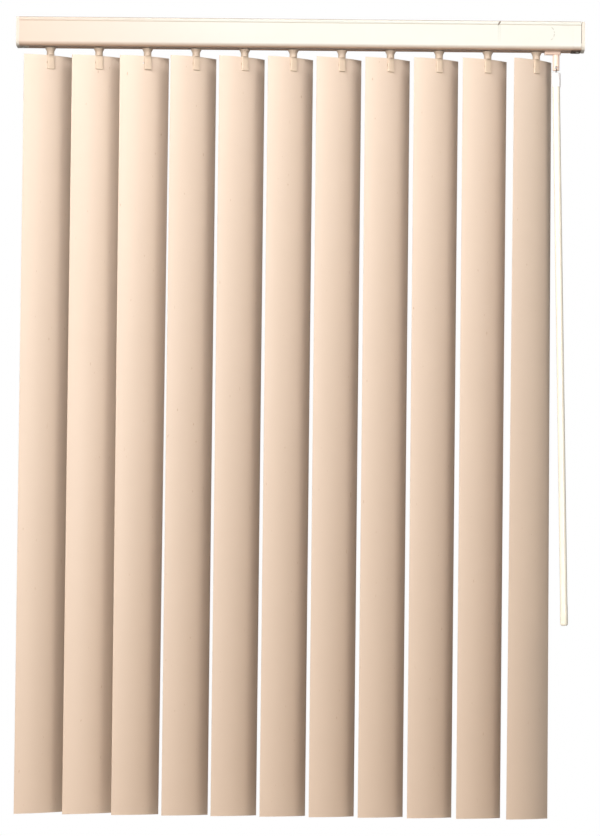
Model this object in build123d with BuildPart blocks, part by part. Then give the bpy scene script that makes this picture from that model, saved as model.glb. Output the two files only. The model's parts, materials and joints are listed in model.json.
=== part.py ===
"""Vertical blind: a roll-formed headrail, eleven travelling carriers with hanging vanes, and a control wand.

Millimetres. +X runs along the headrail, -Y faces the room, +Z is up. The origin is the centre of the
ceiling screw pattern, on the plane where the mounting clips and the top of the headrail meet the ceiling.
"""

import math
import os

from build123d import *

# ---- headrail: roll-formed steel channel, open along the middle of its underside ----
BLIND_WIDTH = 914.0  # over both end caps
RAIL_DEPTH = 50.0  # over the folded hems
RAIL_HEIGHT = 46.0
RAIL_WALL = 1.0
RAIL_CORNER_RADIUS = 8.0
HEM_HEIGHT = 5.5
HEM_STEP = 0.6
CHANNEL_DEPTH = 4.0  # shallow channel in the top, for the mounting clips
LIP_WIDTH = 5.0  # hems turned inwards over that channel
LIP_THICKNESS = 1.0
TRACK_SLOT_WIDTH = 13.0
TRACK_EDGE_HEIGHT = 3.0  # slot edges turned up inside the rail
NICK_X = 319.6
NICK_SIZE = (4.2, 0.35, 4.6)

# ---- end caps and their screws ----
CAP_FLANGE = 5.0
CAP_PLUG_DEPTH = 14.0
CAP_PLUG_WALL = 1.8
CAP_PLUG_CLEARANCE = 0.15
RIGHT_CAP_GAP = 0.9  # the right cap stands this far out of the rail
CAP_TOP_RADIUS = 1.2
SCREW_INSET = 10.7  # screw axis to the outer face of the cap
SCREW_SHANK_RADIUS = 1.5
SCREW_SHANK_LENGTH = 9.0
SCREW_HEAD_RADIUS = 3.0
SCREW_HEAD_HEIGHT = 1.8
SCREW_RECESS_LENGTH = 3.9
SCREW_RECESS_WIDTH = 0.7
SCREW_CLEARANCE = 0.05
SCREW_BOSS_RADIUS = 3.6

# ---- mounting clips: spring steel, screwed to the ceiling ----
CLIP_SPACING = 600.0
CLIP_LENGTH = 32.0
CLIP_THICKNESS = 1.2
CLIP_HOLE_RADIUS = 2.5
CLIP_SIDE_CLEARANCE = 0.8
CLIP_LIP_CLEARANCE = 0.1

# ---- vanes: extruded PVC, curved across their width ----
VANE_COUNT = 11
VANE_CHORD = 89.0
VANE_CROWN = 7.5
VANE_THICKNESS = 0.9
VANE_LENGTH = 1219.2
VANE_HANG = 13.3  # underside of the rail to the top edge of a vane
FIRST_VANE_INSET = 54.3  # outer face of the left cap to the first vane's axis
LAST_VANE_INSET = 76.8  # last vane's axis to the outer face of the right cap
VANE_SLOT_WIDTH = 14.0
VANE_SLOT_HEIGHT = 3.2
VANE_SLOT_DROP = 11.4  # vane top edge to the middle of its slot
VANE_ANGLES = [33.0, 29.0, 32.0] + [36.3] * 7 + [45.0]

# ---- stems: moulded with their pinion, prongs grip the vane ----
PINION_TEETH = 12
PINION_ROOT_RADIUS = 4.6
PINION_TIP_RADIUS = 6.3
PINION_TOOTH_WIDTH = 1.9
PINION_HEIGHT = 10.0
TOOTH_FLANK_ANGLE = 75.0
STEM_SHAFT_RADIUS = 4.2
COLLAR_RADIUS = 8.75
COLLAR_HEIGHT = 3.9
NECK_RADIUS = 6.0
PRONG_WIDTH = 11.6
PRONG_THICKNESS = 2.0
FRONT_PRONG_LENGTH = 22.5
BACK_PRONG_LENGTH = 16.5
BARB_WIDTH = 9.0
BARB_FREEDOM = 1.0  # how much lower the barb is than the vane's slot
TOE_WIDTH = 12.8
TOE_HEIGHT = 2.0
TOE_REACH = 0.55

# ---- tilt rod and worms ----
ROD_RADIUS = 2.2
ROD_RIB_RADIUS = 2.9
ROD_RIB_WIDTH = 1.4
ROD_RIBS = 3
ROD_RISE = 17.0  # rail's inner floor to the rod's axis
ROD_END_CLEARANCE = 1.0
WORM_RADIUS = 4.3
WORM_LENGTH = 14.0

# ---- carriers and the flat spacers that link them ----
CARRIER_LENGTH = 18.0
CARRIER_FRONT_WALL = 4.3  # in front of the pinion's pocket
CARRIER_BACK_WALL = 1.8  # behind the worm's pocket
CARRIER_TOP_GAP = 3.6
SPACER_WIDTH = 10.0
SPACER_THICKNESS = 1.0
SPACER_HEAD_WIDTH = 15.0
SPACER_HEAD_LENGTH = 6.0
SPACER_OVERLAP = 3.0  # how far a spacer reaches past the next stem's axis
SPACER_LEVELS = 4
SPACER_LEVEL_PITCH = 1.8
SPACER_ROOF = 2.0  # top of the carrier to the highest spacer

# ---- wand tilter on the lead carrier ----
TILTER_OFFSET = 31.8  # last vane's axis to the tilter's axis
TILTER_ARM_END = 39.6
TILTER_ARM_FRONT = 8.0
TILTER_ARM_RISE = 8.0  # rod's axis to the top of the housing
TILTER_FOOT_START = 12.9
TILTER_FOOT_END = 39.1
TILTER_FOOT_DROP = 5.0  # below the rail
TILTER_GEAR_TEETH = 10
TILTER_GEAR_TOOTH_HEIGHT = 1.4
TILTER_GEAR_TOOTH_WIDTH = 1.7
TILTER_GEAR_LENGTH = 8.0
TILTER_SHAFT_RADIUS = 3.2
TILTER_TUBE_RADIUS = 5.5
TILTER_TUBE_LENGTH = 25.2
TILTER_EYE_RADIUS = 2.0
TILTER_EYE_RISE = 4.6  # bottom of the tube to the middle of the eye

# ---- wand: hook, sleeve and rod, hanging a little off plumb ----
WAND_LEAN = 1.3
WAND_RADIUS = 6.2
WAND_LENGTH = 880.0
WAND_END_RADIUS = 3.5
WAND_SOCKET_CLEARANCE = 0.1
HOOK_WIRE_RADIUS = 0.8
HOOK_BEND_RADIUS = 1.3
HOOK_LEG_GAP = 0.6
HOOK_LEG_DROP = 5.2
HOOK_TAIL = 8.8
SLEEVE_RADIUS = 7.2
SLEEVE_LENGTH = 23.0
SLEEVE_DROP = 6.9  # hook's pivot to the top of the sleeve
SLEEVE_SHOULDER = 2.6
SLEEVE_NECK = 9.4  # solid length above the wand's socket

# ---- clearances shared by the fits ----
RUNNING_CLEARANCE = 0.07
SLIDING_CLEARANCE = 0.3
BOSS_CLEARANCE = 0.5
GEAR_CLEARANCE = 0.4
KEY_CLEARANCE = 0.12
SEAT_CLEARANCE = 0.1
END_FLOAT = 0.2

# ---- places worked out from the sizes above ----
RAIL_BODY_DEPTH = RAIL_DEPTH - 2 * HEM_STEP
RAIL_LEFT = -BLIND_WIDTH / 2 + CAP_FLANGE
RAIL_RIGHT = BLIND_WIDTH / 2 - CAP_FLANGE - RIGHT_CAP_GAP
RAIL_LENGTH = RAIL_RIGHT - RAIL_LEFT
CAVITY_HALF_DEPTH = RAIL_BODY_DEPTH / 2 - RAIL_WALL
CAVITY_TOP = -CHANNEL_DEPTH - RAIL_WALL
CAVITY_FLOOR = -RAIL_HEIGHT + RAIL_WALL
CAVITY_RADIUS = RAIL_CORNER_RADIUS - RAIL_WALL
ROD_Y = PINION_TIP_RADIUS + GEAR_CLEARANCE + WORM_RADIUS
ROD_Z = CAVITY_FLOOR + ROD_RISE
CARRIER_TOP = CAVITY_TOP - CARRIER_TOP_GAP
CARRIER_BOTTOM = CAVITY_FLOOR + SLIDING_CLEARANCE
BOSS_RADIUS = TRACK_SLOT_WIDTH / 2 - BOSS_CLEARANCE
BOSS_BOTTOM = -RAIL_HEIGHT - SLIDING_CLEARANCE
SHAFT_BORE_RADIUS = STEM_SHAFT_RADIUS + RUNNING_CLEARANCE
PINION_BOTTOM = ROD_Z - PINION_HEIGHT / 2
PINION_POCKET_RADIUS = PINION_TIP_RADIUS + GEAR_CLEARANCE
WORM_POCKET_RADIUS = WORM_RADIUS + SEAT_CLEARANCE
CARRIER_FRONT = PINION_POCKET_RADIUS + CARRIER_FRONT_WALL
CARRIER_BACK = ROD_Y + WORM_POCKET_RADIUS + CARRIER_BACK_WALL
COLLAR_TOP = BOSS_BOTTOM - SLIDING_CLEARANCE
COLLAR_BOTTOM = COLLAR_TOP - COLLAR_HEIGHT
VANE_TOP = -RAIL_HEIGHT - VANE_HANG
NECK_BOTTOM = VANE_TOP + SLIDING_CLEARANCE
PRONG_GAP = VANE_THICKNESS + 2 * SLIDING_CLEARANCE
VANE_BOTTOM = VANE_TOP - VANE_LENGTH
VANE_SLOT_Z = VANE_TOP - VANE_SLOT_DROP
BARB_HEIGHT = VANE_SLOT_HEIGHT - BARB_FREEDOM
VANE_RADIUS = (VANE_CHORD**2 / 4 + VANE_CROWN**2) / (2 * VANE_CROWN)
VANE_HALF_ANGLE = math.degrees(math.asin(VANE_CHORD / 2 / VANE_RADIUS))
VANE_PITCH = (BLIND_WIDTH - FIRST_VANE_INSET - LAST_VANE_INSET) / (VANE_COUNT - 1)
VANE_XS = [-BLIND_WIDTH / 2 + FIRST_VANE_INSET + VANE_PITCH * n for n in range(VANE_COUNT)]
LEAD_X = VANE_XS[-1]
TILTER_X = LEAD_X + TILTER_OFFSET
ROD_OUTER_RADIUS = math.hypot(ROD_RIB_RADIUS, ROD_RIB_WIDTH / 2)
ROD_HOLE_RADIUS = ROD_OUTER_RADIUS + SLIDING_CLEARANCE
TILTER_GEAR_TIP_RADIUS = (ROD_Y - GEAR_CLEARANCE) / 2
TILTER_GEAR_ROOT_RADIUS = TILTER_GEAR_TIP_RADIUS - TILTER_GEAR_TOOTH_HEIGHT
TILTER_ARM_TOP = ROD_Z + TILTER_ARM_RISE
TILTER_FOOT_BOTTOM = -RAIL_HEIGHT - TILTER_FOOT_DROP
TILTER_TUBE_TOP = TILTER_FOOT_BOTTOM - GEAR_CLEARANCE
TILTER_TUBE_BOTTOM = TILTER_TUBE_TOP - TILTER_TUBE_LENGTH
TILTER_EYE_Z = TILTER_TUBE_BOTTOM + TILTER_EYE_RISE
HOOK_PIVOT_Z = TILTER_EYE_Z - TILTER_EYE_RADIUS + HOOK_WIRE_RADIUS + SEAT_CLEARANCE


def upright(x, angle):
    """Horizontal plane at height 0 on the axis at x, with its own X turned by angle from the rail."""
    turn = math.radians(angle)
    return Plane(origin=(x, 0, 0), x_dir=(math.cos(turn), math.sin(turn), 0), z_dir=(0, 0, 1))


def facing(frame, y, z):
    """Upright plane across a frame, y behind its axis at height z: local X as the frame's, local Y up."""
    return Plane(origin=frame.from_local_coords((0, y, z)), x_dir=frame.x_dir, z_dir=-frame.y_dir)


def along_rail(x, y=0.0, z=0.0):
    """Plane across the rail at x: local X is the rail's +Y, local Y is up, and the normal is +X."""
    return Plane(origin=(x, y, z), x_dir=(0, 1, 0), z_dir=(1, 0, 0))


def block(x_span, y_span, z_span, mode=Mode.ADD):
    """Box between two limits along each axis of the blind."""
    with BuildSketch(Plane.XY.offset(z_span[0])) as base:
        with Locations(((x_span[0] + x_span[1]) / 2, (y_span[0] + y_span[1]) / 2)):
            Rectangle(x_span[1] - x_span[0], y_span[1] - y_span[0])
    extrude(base.sketch, amount=z_span[1] - z_span[0], mode=mode)


def disc(plane, radius, length, mode=Mode.ADD):
    """Cylinder of a radius standing on a plane."""
    with BuildSketch(plane) as base:
        Circle(radius)
    extrude(base.sketch, amount=length, mode=mode)


def gear_wheel(plane, teeth, root_radius, tip_radius, tooth_width, height):
    """Toothed wheel standing on a plane, with straight tapering teeth."""
    tooth_height = tip_radius - root_radius + 0.3
    with BuildSketch(plane) as wheel:
        Circle(root_radius)
        with PolarLocations(tip_radius - tooth_height / 2, teeth):
            Trapezoid(tooth_width, tooth_height, TOOTH_FLANK_ANGLE, rotation=-90)
    extrude(wheel.sketch, amount=height)


def rod_section(clearance):
    """Ribbed section of the tilt rod, in the current sketch, larger all round by a clearance."""
    Circle(ROD_RADIUS + clearance)
    reach = ROD_RIB_RADIUS + clearance
    with PolarLocations(reach / 2, ROD_RIBS):
        Rectangle(reach, ROD_RIB_WIDTH + 2 * clearance)


def rail_outline(depth, top, bottom, corner_radius):
    """Rail-shaped outline in the current sketch: square at the top, rounded at the two lower corners."""
    with BuildLine() as outline:
        half = depth / 2
        low = bottom + corner_radius
        Line((-half, low), (-half, top))
        Line((-half, top), (half, top))
        Line((half, top), (half, low))
        CenterArc((half - corner_radius, low), corner_radius, 270, 90)
        Line((half - corner_radius, bottom), (corner_radius - half, bottom))
        CenterArc((corner_radius - half, low), corner_radius, 180, 90)
    make_face(outline.line)


def track_grooves(x_span, mode=Mode.SUBTRACT):
    """Room around the turned-up edges of the track slot, over a stretch of the rail."""
    inner = TRACK_SLOT_WIDTH / 2 - SLIDING_CLEARANCE
    outer = TRACK_SLOT_WIDTH / 2 + RAIL_WALL + SLIDING_CLEARANCE
    top = CAVITY_FLOOR + TRACK_EDGE_HEIGHT + SLIDING_CLEARANCE
    for side in (-1, 1):
        y_span = sorted((side * inner, side * outer))
        block(x_span, y_span, (-RAIL_HEIGHT, top), mode)


def make_headrail():
    """Steel channel with hemmed lips above and a turned-up track slot below."""
    with BuildPart() as headrail:
        with BuildSketch(along_rail(RAIL_LEFT)):
            rail_outline(RAIL_BODY_DEPTH, 0, -RAIL_HEIGHT, RAIL_CORNER_RADIUS)
            with Locations((0, -HEM_HEIGHT / 2)):
                Rectangle(RAIL_DEPTH, HEM_HEIGHT)
        extrude(amount=RAIL_LENGTH)
        with BuildSketch(along_rail(RAIL_LEFT)):
            rail_outline(2 * CAVITY_HALF_DEPTH, CAVITY_TOP, CAVITY_FLOOR, CAVITY_RADIUS)
            with Locations((0, -(LIP_THICKNESS + CHANNEL_DEPTH) / 2)):
                Rectangle(2 * CAVITY_HALF_DEPTH, CHANNEL_DEPTH - LIP_THICKNESS)
            with Locations((0, -LIP_THICKNESS / 2)):
                Rectangle(2 * (CAVITY_HALF_DEPTH - LIP_WIDTH), LIP_THICKNESS)
            with Locations((0, -RAIL_HEIGHT + RAIL_WALL / 2)):
                Rectangle(TRACK_SLOT_WIDTH, RAIL_WALL)
        extrude(amount=RAIL_LENGTH, mode=Mode.SUBTRACT)
        for side in (-1, 1):
            edge = TRACK_SLOT_WIDTH / 2
            y_span = sorted((side * edge, side * (edge + RAIL_WALL)))
            block((RAIL_LEFT, RAIL_RIGHT), y_span, (CAVITY_FLOOR, CAVITY_FLOOR + TRACK_EDGE_HEIGHT))
        block(
            (NICK_X - NICK_SIZE[0] / 2, NICK_X + NICK_SIZE[0] / 2),
            (-RAIL_DEPTH / 2, -RAIL_DEPTH / 2 + NICK_SIZE[1]),
            (-HEM_HEIGHT, -HEM_HEIGHT + NICK_SIZE[2]),
            Mode.SUBTRACT,
        )
    return headrail.part


def make_end_cap(side):
    """Moulded cap: outer flange, hollow plug inside the rail, rod bearing and screw boss."""
    rail_end = RAIL_RIGHT if side > 0 else RAIL_LEFT
    outer = side * BLIND_WIDTH / 2
    flange_face = outer - side * CAP_FLANGE
    plug_end = rail_end - side * CAP_PLUG_DEPTH
    plug_start, plug_stop = sorted((plug_end, flange_face))
    plug_length = plug_stop - plug_start
    plug_half = CAVITY_HALF_DEPTH - CAP_PLUG_CLEARANCE
    plug_top = CAVITY_TOP - CAP_PLUG_CLEARANCE
    plug_bottom = CAVITY_FLOOR + CAP_PLUG_CLEARANCE
    plug_radius = CAVITY_RADIUS - CAP_PLUG_CLEARANCE
    hollow_radius = plug_radius - CAP_PLUG_WALL
    bearing_radius = ROD_OUTER_RADIUS + RUNNING_CLEARANCE
    screw_x = outer - side * SCREW_INSET
    with BuildPart() as cap:
        with BuildSketch(along_rail(plug_start)):
            rail_outline(2 * plug_half, plug_top, plug_bottom, plug_radius)
        extrude(amount=plug_length)
        with BuildSketch(along_rail(plug_start)):
            rail_outline(
                2 * (plug_half - CAP_PLUG_WALL),
                plug_top - CAP_PLUG_WALL,
                plug_bottom + CAP_PLUG_WALL,
                hollow_radius,
            )
        extrude(amount=plug_length, mode=Mode.SUBTRACT)
        bearing = along_rail(plug_start, ROD_Y, ROD_Z)
        disc(bearing, bearing_radius + CAP_PLUG_WALL, plug_length)
        web = (ROD_Y + bearing_radius, plug_half - CAP_PLUG_WALL / 2)
        block((plug_start, plug_stop), web, (ROD_Z - CAP_PLUG_WALL / 2, ROD_Z + CAP_PLUG_WALL / 2))
        disc(bearing, bearing_radius, plug_length, Mode.SUBTRACT)
        disc(
            Plane(origin=(screw_x, 0, plug_bottom)),
            SCREW_BOSS_RADIUS,
            SCREW_SHANK_LENGTH,
        )
        foot = TRACK_SLOT_WIDTH / 2 - SLIDING_CLEARANCE
        block((plug_start, plug_stop), (-foot, foot), (-RAIL_HEIGHT, plug_bottom + CAP_PLUG_WALL))
        track_grooves((plug_start, plug_stop))
        with BuildSketch(along_rail(min(outer, flange_face))) as flange:
            rail_outline(RAIL_DEPTH, 0, -RAIL_HEIGHT, RAIL_CORNER_RADIUS)
            fillet(flange.vertices().group_by(Axis.Y)[-1], CAP_TOP_RADIUS)
        extrude(amount=CAP_FLANGE)
        disc(
            Plane(origin=(screw_x, 0, -RAIL_HEIGHT)),
            SCREW_SHANK_RADIUS + SCREW_CLEARANCE,
            SCREW_SHANK_LENGTH,
            Mode.SUBTRACT,
        )
    return cap.part


def make_end_cap_screws():
    """Two self-tapping pan-head screws, driven up into the caps from below."""
    with BuildPart() as screws:
        for side in (-1, 1):
            screw_x = side * (BLIND_WIDTH / 2 - SCREW_INSET)
            seat = Plane(origin=(screw_x, 0, -RAIL_HEIGHT))
            disc(seat, SCREW_SHANK_RADIUS, SCREW_SHANK_LENGTH - END_FLOAT)
            with BuildSketch(seat.offset(-SCREW_HEAD_HEIGHT)):
                Circle(SCREW_HEAD_RADIUS)
            extrude(amount=SCREW_HEAD_HEIGHT)
            with BuildSketch(seat.offset(-SCREW_HEAD_HEIGHT)):
                Rectangle(SCREW_RECESS_LENGTH, SCREW_RECESS_WIDTH)
                Rectangle(SCREW_RECESS_WIDTH, SCREW_RECESS_LENGTH)
            extrude(amount=SCREW_HEAD_HEIGHT / 2, mode=Mode.SUBTRACT)
    return screws.part


def make_mounting_clips():
    """Two stepped spring-steel clips that lie in the rail's top channel, wings under its lips."""
    pad_half = CAVITY_HALF_DEPTH - LIP_WIDTH - CLIP_SIDE_CLEARANCE
    wing_half = CAVITY_HALF_DEPTH - CLIP_SIDE_CLEARANCE
    wing_top = -LIP_THICKNESS - CLIP_LIP_CLEARANCE
    with BuildPart() as clips:
        for side in (-1, 1):
            clip_x = side * CLIP_SPACING / 2
            x_span = (clip_x - CLIP_LENGTH / 2, clip_x + CLIP_LENGTH / 2)
            block(x_span, (-pad_half, pad_half), (-CLIP_THICKNESS, 0))
            for edge in (-1, 1):
                y_span = sorted((edge * (pad_half - CLIP_THICKNESS), edge * wing_half))
                block(x_span, y_span, (wing_top - CLIP_THICKNESS, wing_top))
            disc(
                Plane(origin=(clip_x, 0, -CLIP_THICKNESS)),
                CLIP_HOLE_RADIUS,
                CLIP_THICKNESS,
                Mode.SUBTRACT,
            )
    return clips.part


def make_tilt_rod():
    """Extruded ribbed aluminium rod, carried by the two end caps."""
    start = RAIL_LEFT + ROD_END_CLEARANCE
    stop = RAIL_RIGHT - ROD_END_CLEARANCE
    with BuildPart() as rod:
        with BuildSketch(along_rail(start, ROD_Y, ROD_Z)):
            rod_section(0)
        extrude(amount=stop - start)
    return rod.part


def make_worm(x):
    """Worm keyed on the rod and trapped in its carrier. Its fine thread is left plain."""
    with BuildPart() as worm:
        start = along_rail(x - WORM_LENGTH / 2, ROD_Y, ROD_Z)
        disc(start, WORM_RADIUS, WORM_LENGTH)
        with BuildSketch(start):
            rod_section(KEY_CLEARANCE)
        extrude(amount=WORM_LENGTH, mode=Mode.SUBTRACT)
    return worm.part


def spacer_top(index):
    """Height of the top of a carrier's spacer. Four levels let the spacers nest when the carriers stack."""
    return CARRIER_TOP - SPACER_ROOF - SPACER_LEVEL_PITCH * (index % SPACER_LEVELS)


def add_housing(x_span, y_span, top):
    """Moulded housing in the current part, riding on the rail's floor and clear of the slot's edges."""
    block(x_span, y_span, (CARRIER_BOTTOM, top))
    track_grooves(x_span)


def make_carrier(index):
    """Carrier housing with its bearing boss, gear pockets and spacer window, and the spacer it holds."""
    x = VANE_XS[index]
    start = x - CARRIER_LENGTH / 2
    stop = x + CARRIER_LENGTH / 2
    window_top = spacer_top(0) + SPACER_THICKNESS / 2
    window_bottom = spacer_top(SPACER_LEVELS - 1) - SPACER_THICKNESS * 1.5
    window_half = SPACER_WIDTH / 2 + 2 * SLIDING_CLEARANCE
    head_top = spacer_top(index)
    head_bottom = head_top - SPACER_THICKNESS
    has_spacer = index < VANE_COUNT - 1
    with BuildPart() as carrier:
        add_housing((start, stop), (-CARRIER_FRONT, CARRIER_BACK), CARRIER_TOP)
        disc(Plane(origin=(x, 0, BOSS_BOTTOM)), BOSS_RADIUS, CARRIER_BOTTOM - BOSS_BOTTOM)
        disc(
            Plane(origin=(x, 0, BOSS_BOTTOM)),
            SHAFT_BORE_RADIUS,
            PINION_BOTTOM - SEAT_CLEARANCE - BOSS_BOTTOM,
            Mode.SUBTRACT,
        )
        disc(
            Plane(origin=(x, 0, PINION_BOTTOM - SEAT_CLEARANCE)),
            PINION_POCKET_RADIUS,
            PINION_HEIGHT + 2 * SEAT_CLEARANCE + END_FLOAT,
            Mode.SUBTRACT,
        )
        disc(
            along_rail(x - WORM_LENGTH / 2 - END_FLOAT, ROD_Y, ROD_Z),
            WORM_POCKET_RADIUS,
            WORM_LENGTH + 2 * END_FLOAT,
            Mode.SUBTRACT,
        )
        disc(along_rail(start, ROD_Y, ROD_Z), ROD_HOLE_RADIUS, CARRIER_LENGTH, Mode.SUBTRACT)
        block((start, stop), (-window_half, window_half), (window_bottom, window_top), Mode.SUBTRACT)
        if has_spacer:
            head_half = SPACER_HEAD_WIDTH / 2 + SEAT_CLEARANCE
            head_reach = SPACER_HEAD_LENGTH / 2 + SEAT_CLEARANCE
            block(
                (x - head_reach, x + head_reach),
                (-head_half, head_half),
                (head_bottom, head_top + SEAT_CLEARANCE),
                Mode.SUBTRACT,
            )
    solids = [carrier.part]
    if has_spacer:
        with BuildPart() as spacer:
            head = SPACER_HEAD_LENGTH / 2
            block(
                (x - head, x + head),
                (-SPACER_HEAD_WIDTH / 2, SPACER_HEAD_WIDTH / 2),
                (head_bottom, head_top),
            )
            block(
                (x - head, x + VANE_PITCH + SPACER_OVERLAP),
                (-SPACER_WIDTH / 2, SPACER_WIDTH / 2),
                (head_bottom, head_top),
            )
        solids.append(spacer.part)
    return Compound(children=solids) if has_spacer else carrier.part


def make_stem(index):
    """Stem with its pinion on top, collar under the rail, and two prongs with a barb for the vane's slot."""
    frame = upright(VANE_XS[index], VANE_ANGLES[index])
    inner = PRONG_GAP / 2
    outer = inner + PRONG_THICKNESS
    front_bottom = NECK_BOTTOM - FRONT_PRONG_LENGTH
    back_bottom = NECK_BOTTOM - BACK_PRONG_LENGTH
    slot_top = VANE_SLOT_Z + VANE_SLOT_HEIGHT / 2
    barb_top = slot_top - SEAT_CLEARANCE
    with BuildPart() as stem:
        gear_wheel(
            frame.offset(PINION_BOTTOM),
            PINION_TEETH,
            PINION_ROOT_RADIUS,
            PINION_TIP_RADIUS,
            PINION_TOOTH_WIDTH,
            PINION_HEIGHT,
        )
        disc(frame.offset(COLLAR_TOP), STEM_SHAFT_RADIUS, PINION_BOTTOM - COLLAR_TOP)
        disc(frame.offset(COLLAR_BOTTOM), COLLAR_RADIUS, COLLAR_HEIGHT)
        disc(frame.offset(NECK_BOTTOM), NECK_RADIUS, COLLAR_BOTTOM - NECK_BOTTOM)
        with BuildSketch(frame.offset(front_bottom)):
            with Locations((0, -(inner + outer) / 2)):
                Rectangle(PRONG_WIDTH, PRONG_THICKNESS)
        extrude(amount=FRONT_PRONG_LENGTH)
        with BuildSketch(frame.offset(front_bottom)):
            with Locations((0, -(inner + outer + TOE_REACH) / 2)):
                Rectangle(TOE_WIDTH, PRONG_THICKNESS + TOE_REACH)
        extrude(amount=TOE_HEIGHT)
        with BuildSketch(frame.offset(back_bottom)):
            with Locations((0, (inner + outer) / 2)):
                Rectangle(PRONG_WIDTH, PRONG_THICKNESS)
        extrude(amount=BACK_PRONG_LENGTH)
        barb_reach = inner - SEAT_CLEARANCE
        with BuildSketch(frame.offset(barb_top - BARB_HEIGHT)):
            with Locations((0, (inner - barb_reach) / 2)):
                Rectangle(BARB_WIDTH, inner + barb_reach)
        extrude(amount=BARB_HEIGHT)
    return stem.part


def make_vane(index):
    """Vane: a thin strip, curved across its width towards the room, with a slot punched near its top."""
    frame = upright(VANE_XS[index], VANE_ANGLES[index])
    middle = (0, VANE_RADIUS)
    first = 270 - VANE_HALF_ANGLE
    with BuildPart() as vane:
        with BuildSketch(frame.offset(VANE_BOTTOM)):
            with BuildLine():
                back = CenterArc(middle, VANE_RADIUS - VANE_THICKNESS / 2, first, 2 * VANE_HALF_ANGLE)
                front = CenterArc(middle, VANE_RADIUS + VANE_THICKNESS / 2, first, 2 * VANE_HALF_ANGLE)
                Line(back @ 0, front @ 0)
                Line(back @ 1, front @ 1)
            make_face()
        extrude(amount=VANE_LENGTH)
        with BuildSketch(facing(frame, 0, VANE_SLOT_Z)):
            SlotOverall(VANE_SLOT_WIDTH, VANE_SLOT_HEIGHT)
        extrude(amount=VANE_CROWN, both=True, mode=Mode.SUBTRACT)
    return vane.part


def make_tilter_arm():
    """Housing fixed to the lead carrier, with the foot that carries the wand tilter below the rail."""
    start = LEAD_X + CARRIER_LENGTH / 2
    stop = LEAD_X + TILTER_ARM_END
    pocket_radius = TILTER_GEAR_TIP_RADIUS + END_FLOAT
    gear_start = TILTER_X - TILTER_GEAR_LENGTH / 2 - END_FLOAT
    shaft_top = ROD_Z - PINION_HEIGHT / 2 - SEAT_CLEARANCE
    with BuildPart() as arm:
        add_housing((start, stop), (-TILTER_ARM_FRONT, CARRIER_BACK), TILTER_ARM_TOP)
        with BuildSketch(Plane.XY.offset(TILTER_FOOT_BOTTOM)) as foot:
            with Locations((LEAD_X + (TILTER_FOOT_START + TILTER_FOOT_END) / 2, 0)):
                Rectangle(TILTER_FOOT_END - TILTER_FOOT_START, 2 * BOSS_RADIUS)
            fillet(foot.vertices(), TILTER_FOOT_DROP / 2)
        extrude(amount=CARRIER_BOTTOM - TILTER_FOOT_BOTTOM)
        disc(
            Plane(origin=(TILTER_X, 0, TILTER_FOOT_BOTTOM)),
            TILTER_SHAFT_RADIUS + RUNNING_CLEARANCE,
            shaft_top - TILTER_FOOT_BOTTOM,
            Mode.SUBTRACT,
        )
        disc(
            Plane(origin=(TILTER_X, 0, shaft_top)),
            pocket_radius,
            TILTER_ARM_TOP - shaft_top,
            Mode.SUBTRACT,
        )
        disc(
            along_rail(gear_start, ROD_Y, ROD_Z),
            pocket_radius,
            TILTER_GEAR_LENGTH + 2 * END_FLOAT,
            Mode.SUBTRACT,
        )
        disc(along_rail(start, ROD_Y, ROD_Z), ROD_HOLE_RADIUS, stop - start, Mode.SUBTRACT)
    return arm.part


def make_tilter_gear():
    """Gear keyed on the rod inside the tilter housing. Its helix is left straight."""
    with BuildPart() as gear:
        start = along_rail(TILTER_X - TILTER_GEAR_LENGTH / 2, ROD_Y, ROD_Z)
        gear_wheel(
            start,
            TILTER_GEAR_TEETH,
            TILTER_GEAR_ROOT_RADIUS,
            TILTER_GEAR_TIP_RADIUS,
            TILTER_GEAR_TOOTH_WIDTH,
            TILTER_GEAR_LENGTH,
        )
        with BuildSketch(start):
            rod_section(KEY_CLEARANCE)
        extrude(amount=TILTER_GEAR_LENGTH, mode=Mode.SUBTRACT)
    return gear.part


def make_tilter_stem():
    """Upright tilter shaft with its gear, the tube below the rail and the eye for the hook."""
    frame = upright(TILTER_X, 0)
    gear_bottom = ROD_Z - PINION_HEIGHT / 2
    with BuildPart() as stem:
        gear_wheel(
            frame.offset(gear_bottom),
            TILTER_GEAR_TEETH,
            TILTER_GEAR_ROOT_RADIUS,
            TILTER_GEAR_TIP_RADIUS,
            TILTER_GEAR_TOOTH_WIDTH,
            TILTER_ARM_TOP - gear_bottom - 2 * SLIDING_CLEARANCE,
        )
        disc(frame.offset(TILTER_TUBE_TOP), TILTER_SHAFT_RADIUS, gear_bottom - TILTER_TUBE_TOP)
        disc(frame.offset(TILTER_TUBE_BOTTOM), TILTER_TUBE_RADIUS, TILTER_TUBE_TOP - TILTER_TUBE_BOTTOM)
        chamfer(stem.edges().filter_by(GeomType.CIRCLE).group_by(Axis.Z)[0], HOOK_WIRE_RADIUS)
        with BuildSketch(facing(frame, 0, TILTER_EYE_Z)):
            Circle(TILTER_EYE_RADIUS)
        extrude(amount=TILTER_TUBE_RADIUS + 1, both=True, mode=Mode.SUBTRACT)
    return stem.part


def hanging():
    """Plane across the wand at the hook's pivot. Its normal points up the wand, which leans along +X."""
    lean = math.radians(WAND_LEAN)
    return Plane(
        origin=(TILTER_X, 0, HOOK_PIVOT_Z),
        x_dir=(math.cos(lean), 0, math.sin(lean)),
        z_dir=(-math.sin(lean), 0, math.cos(lean)),
    )


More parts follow.
